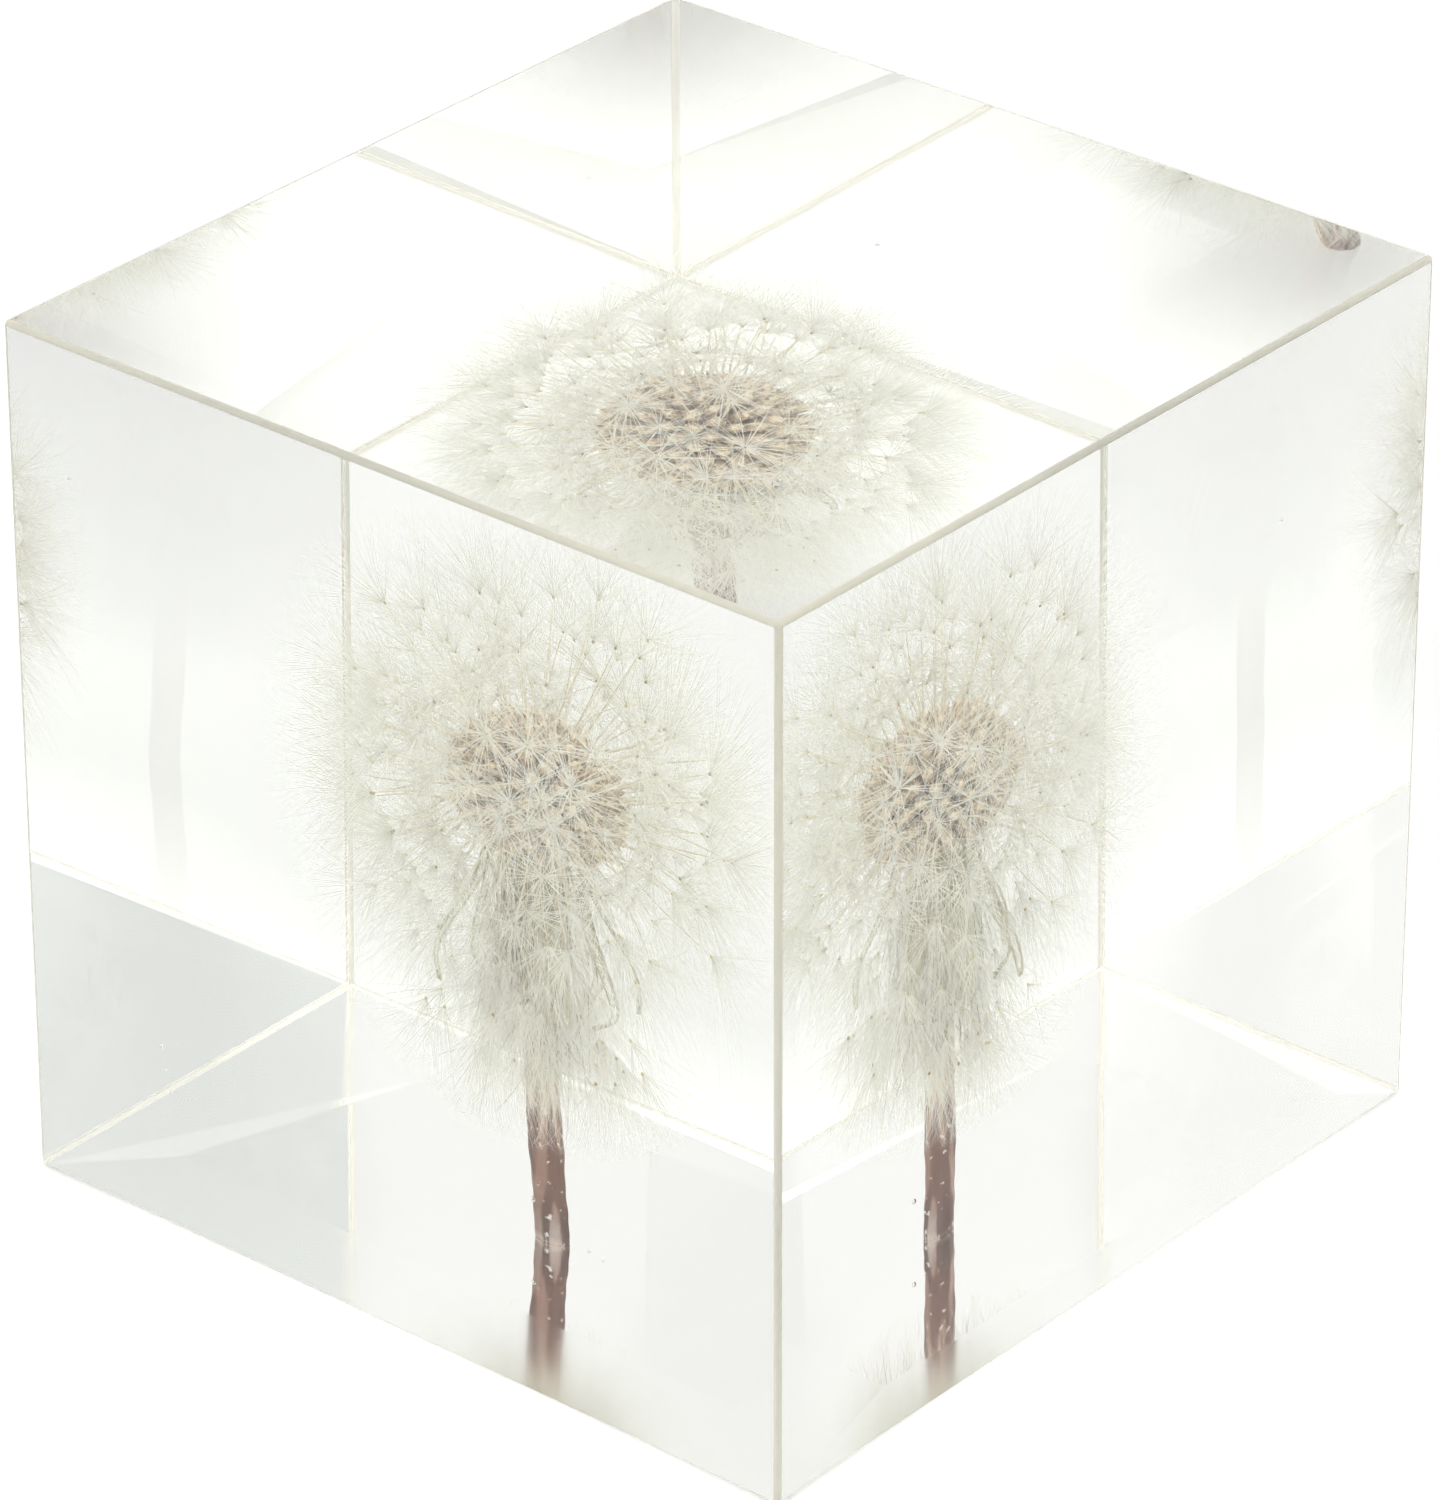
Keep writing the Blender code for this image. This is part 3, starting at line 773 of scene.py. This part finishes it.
def make_bract(name, node, azimuth, route, material):
    """A papery strap with curled margins, a midrib and a drawn-out point."""
    rows, columns = 30, 9
    outward = Vector((math.cos(azimuth), math.sin(azimuth), 0.0))
    sideways = Vector((-math.sin(azimuth), math.cos(azimuth), 0.0))
    drift = rng.normal(0, 0.0007)
    hook = rng.uniform(-0.0016, 0.0002)
    wave = rng.uniform(0, 2 * math.pi)
    middle = smooth_route([outward * r + Vector((0, 0, z)) for r, z in route], rows)
    bm = bmesh.new()
    grid = []
    for row, point in enumerate(middle):
        along = row / (rows - 1)
        before, after = middle[max(row - 1, 0)], middle[min(row + 1, rows - 1)]
        normal = sideways.cross(after - before).normalized()
        width = 0.00030 + 0.0017 * (1 - along) ** 0.35 * (0.9 + 0.1 * math.sin(7 * along))
        sway = sideways * (drift * along ** 2 + 0.00014 * along * math.sin(7 * along + wave))
        sway += outward * (hook * along ** 3 + 0.00012 * along * math.sin(9 * along + 2 * wave))
        line = []
        for column in range(columns):
            across = column / (columns - 1) * 2 - 1
            ripple = math.sin(6 * along + 3 * across + wave)
            curl = 0.00028 * (1 - across ** 2) * (1 - along) + 0.00012 * ripple
            rib = 0.00006 if column == columns // 2 else 0.0
            place = HEAD_CENTRE + point + sway + sideways * across * width / 2 + normal * (curl + rib)
            line.append(bm.verts.new(place))
        grid.append(line)
    for upper, lower in zip(grid, grid[1:]):
        for column in range(columns - 1):
            bm.faces.new((upper[column], upper[column + 1], lower[column + 1], lower[column]))
    mesh = mesh_from_bmesh(name, bm)
    edges = np.tile(np.abs(np.linspace(-1, 1, columns)), rows)
    tips = np.repeat(np.linspace(0, 1, rows), columns) ** 6
    layer = mesh.attributes.new("edge", "FLOAT", "POINT")
    layer.data.foreach_set("value", np.maximum(edges, tips).astype(np.float32))
    bract = new_object(name, mesh, material)
    solidify = bract.modifiers.new("Thickness", "SOLIDIFY")
    solidify.thickness = 0.00010
    solidify.offset = 0.0
    for polygon in mesh.polygons:
        polygon.use_smooth = True
    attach(bract, "root")
    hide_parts(node)


# Routes of the bracts, as distance from the stem's middle and height from the head's centre
HANGING_ROUTE = [(0.0021, -0.0039), (0.0024, -0.0070), (0.0027, -0.0110), (0.0023, -0.0145)]
CLASPING_ROUTE = [(0.0021, -0.0039), (0.0023, -0.0075), (0.0024, -0.0130), (0.0021, -0.0183)]
FLARED_ROUTE = [(0.00305, -0.0033), (0.0046, -0.0068), (0.0077, -0.0112), (0.0087, -0.0142)]
CURLED_ROUTE = [(0.00305, -0.0033), (0.0044, -0.0080), (0.0062, -0.0130), (0.0048, -0.0148)]
# The direction of each bract in degrees, and its route
BRACTS = [
    (-80, HANGING_ROUTE), (-28, CLASPING_ROUTE), (22, HANGING_ROUTE), (74, CLASPING_ROUTE),
    (126, HANGING_ROUTE), (178, CLASPING_ROUTE), (229, HANGING_ROUTE),
    (-52, CURLED_ROUTE), (-3, CURLED_ROUTE), (28, FLARED_ROUTE), (66, CURLED_ROUTE),
    (112, FLARED_ROUTE), (168, CURLED_ROUTE), (215, FLARED_ROUTE),
]


def make_plant():
    husk = achene_material()
    beak = beak_material()
    hair = pappus_material()
    papery = bract_material()

    directions = lattice(SEED_COUNT, SEED_LIMIT)
    tips = ball_points(directions)
    achenes = make_achenes(tips, husk)
    teeth = make_shoulder_spines(tips, husk)
    receptacle = make_receptacle(husk)
    centres = parachute_centres(unit(tips))
    beaks = make_beaks(tips, centres, beak)
    for piece in (achenes, teeth, receptacle, beaks):
        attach(piece, "root")
        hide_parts("seed_head")

    # Seeds under the head hang with their hairs about the stem
    turn = np.arange(HANGING_COUNT) * GOLDEN_ANGLE
    spread = rng.uniform(0.0024, 0.0090, HANGING_COUNT)
    drop = rng.uniform(-0.0178, -0.0085, HANGING_COUNT)
    hanging = np.column_stack([spread * np.cos(turn), spread * np.sin(turn), drop])
    lean = rng.uniform(0.0, 1.1, HANGING_COUNT)
    turn = turn + rng.normal(0, 0.5, HANGING_COUNT)
    down = np.full(HANGING_COUNT, -1.0)
    hanging_axes = unit(np.column_stack([lean * np.cos(turn), lean * np.sin(turn), down]))
    bursts, pressed = make_pressed_bursts(hair)
    discs = make_discs(np.vstack([centres, hanging, pressed]), disc_material())
    clinging = make_clinging_strands("clinging_strands", CLINGING_COUNT, CLINGING_RADIUS,
                                     CLINGING_TANGLE, hair)
    hairs = make_pappus((centres, unit(centres)), (hanging, hanging_axes), hair)
    for piece in hairs + [bursts, discs, clinging, make_loose_hairs(hair)]:
        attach(piece, "root")
        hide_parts("pappus_globe")
    fibres = make_clinging_strands("dry_fibres", FIBRE_COUNT, FIBRE_RADIUS, FIBRE_TANGLE,
                                   fibre_material())
    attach(fibres, "root")
    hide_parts("pappus_globe")

    for number, (degrees, route) in enumerate(BRACTS, start=1):
        azimuth = math.radians(degrees)
        make_bract(f"papery_bract_{number:02d}", f"bract_{number:02d}", azimuth, route, papery)


# Bubbles: the place and the radius of each
BUBBLES = [
    (Vector((-0.0005, -0.0029, 0.0030)), 0.00020),
    (Vector((0.0007, -0.0024, 0.0022)), 0.00012),
    (Vector((-0.0212, -0.0260, 0.0110)), 0.00016),
    (Vector((-0.0208, -0.0262, 0.0095)), 0.00011),
    (Vector((-0.0206, -0.0258, 0.0079)), 0.00014),
    (Vector((0.0021, 0.0120, 0.0560)), 0.00018),
    (Vector((-0.0180, 0.0085, 0.0550)), 0.00014),
    (Vector((-0.0262, -0.0282, 0.0490)), 0.00015),
    (Vector((0.0265, 0.0180, 0.0455)), 0.00016),
    (Vector((0.0140, -0.0272, 0.0105)), 0.00013),
    (Vector((0.0150, -0.0270, 0.0102)), 0.00010),
]


def make_bubbles():
    bm = bmesh.new()
    for place, radius in BUBBLES:
        bmesh.ops.create_icosphere(bm, subdivisions=3, radius=radius, matrix=Matrix.Translation(place))
    mesh = mesh_from_bmesh("bubbles", bm)
    mesh.shade_smooth()
    bubbles = new_object("bubbles", mesh, bubble_material())
    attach(bubbles, "root")


# Stage, light and camera

def make_stage():
    """The table, a hair's breadth under the block's base."""
    bm = bmesh.new()
    bmesh.ops.create_grid(bm, x_segments=1, y_segments=1, size=2.0)
    floor = new_object("studio_floor", mesh_from_bmesh("studio_floor", bm), floor_material())
    floor.location.z = -FLOOR_GAP


def make_light():
    """A soft white room: brightest overhead and towards the camera's side, greyer to the right."""
    world = bpy.data.worlds.new("studio")
    bpy.context.scene.world = world
    world.cycles.sampling_method = "NONE"
    world.use_nodes = True
    nodes, links = world.node_tree.nodes, world.node_tree.links
    background = nodes["Background"]
    direction = nodes.new("ShaderNodeTexCoord")
    height = nodes.new("ShaderNodeSeparateXYZ")
    links.new(direction.outputs["Generated"], height.inputs["Vector"])
    sky = add_ramp(nodes, [(0.0, (1.0, 1.0, 1.0)), (0.22, (0.88, 0.88, 0.87)), (0.60, (0.92, 0.92, 0.91)),
                           (1.0, (3.1, 3.1, 3.1))])
    links.new(height.outputs["Z"], sky.inputs["Fac"])
    side = nodes.new("ShaderNodeVectorMath")
    side.operation = "DOT_PRODUCT"
    side.inputs[1].default_value = SHADE_DIRECTION
    links.new(direction.outputs["Generated"], side.inputs[0])
    shade = add_ramp(nodes, [(0.60, (1.0, 1.0, 1.0)), (0.95, (0.85, 0.87, 0.87))])
    links.new(side.outputs["Value"], shade.inputs["Fac"])
    near_side = nodes.new("ShaderNodeVectorMath")
    near_side.operation = "DOT_PRODUCT"
    near_side.inputs[1].default_value = NEAR_DIRECTION
    links.new(direction.outputs["Generated"], near_side.inputs[0])
    near_light = add_ramp(nodes, [(0.90, (1.0, 1.0, 1.0)), (1.0, (1.12, 1.12, 1.13))])
    links.new(near_side.outputs["Value"], near_light.inputs["Fac"])
    front = nodes.new("ShaderNodeVectorMath")
    front.operation = "DOT_PRODUCT"
    front.inputs[1].default_value = KEY_DIRECTION
    links.new(direction.outputs["Generated"], front.inputs[0])
    key = add_ramp(nodes, [(0.58, (1.0, 1.0, 1.0)), (0.85, (1.9, 1.89, 1.86))])
    links.new(front.outputs["Value"], key.inputs["Fac"])
    lit_sky = add_mix(nodes, links, 1.0, sky.outputs["Color"], key.outputs["Color"], "MULTIPLY")
    shaded = add_mix(nodes, links, 1.0, lit_sky, shade.outputs["Color"], "MULTIPLY")
    links.new(add_mix(nodes, links, 1.0, shaded, near_light.outputs["Color"], "MULTIPLY"),
              background.inputs["Color"])
    background.inputs["Strength"].default_value = 1.05


def make_camera():
    """The camera that was fitted to the block's corners in the photograph."""
    back = Vector((math.sin(CAMERA_AZIMUTH) * math.cos(CAMERA_ELEVATION),
                   -math.cos(CAMERA_AZIMUTH) * math.cos(CAMERA_ELEVATION),
                   math.sin(CAMERA_ELEVATION)))
    right = Vector((0, 0, 1)).cross(back).normalized()
    up = back.cross(right)
    turned_right = right * math.cos(CAMERA_ROLL) + up * math.sin(CAMERA_ROLL)
    turned_up = up * math.cos(CAMERA_ROLL) - right * math.sin(CAMERA_ROLL)
    data = bpy.data.cameras.new("camera")
    data.sensor_width = SENSOR
    data.lens = LENS
    data.clip_start = 0.01
    camera = bpy.data.objects.new("camera", data)
    bpy.context.scene.collection.objects.link(camera)
    turn = Matrix((turned_right, turned_up, back)).transposed().to_4x4()
    place = (CAMERA_AIM + back * CAMERA_DISTANCE + turned_right * CAMERA_SLIDE[0]
             + turned_up * CAMERA_SLIDE[1])
    camera.matrix_world = Matrix.Translation(place) @ turn
    bpy.context.scene.camera = camera


def set_quality():
    """Enough bounces for light to cross the block, and no blurring of what the resin shows."""
    scene = bpy.context.scene
    scene.view_settings.view_transform = "Standard"
    scene.cycles.max_bounces = 10
    scene.cycles.transmission_bounces = 10
    scene.cycles.glossy_bounces = 10
    scene.cycles.diffuse_bounces = 4
    scene.cycles.transparent_max_bounces = 8
    scene.cycles.blur_glossy = 0.0
    scene.cycles.use_denoising = True


make_camera()
make_resin_block()
make_stem()
make_plant()
make_bubbles()
make_stage()
make_light()
set_quality()
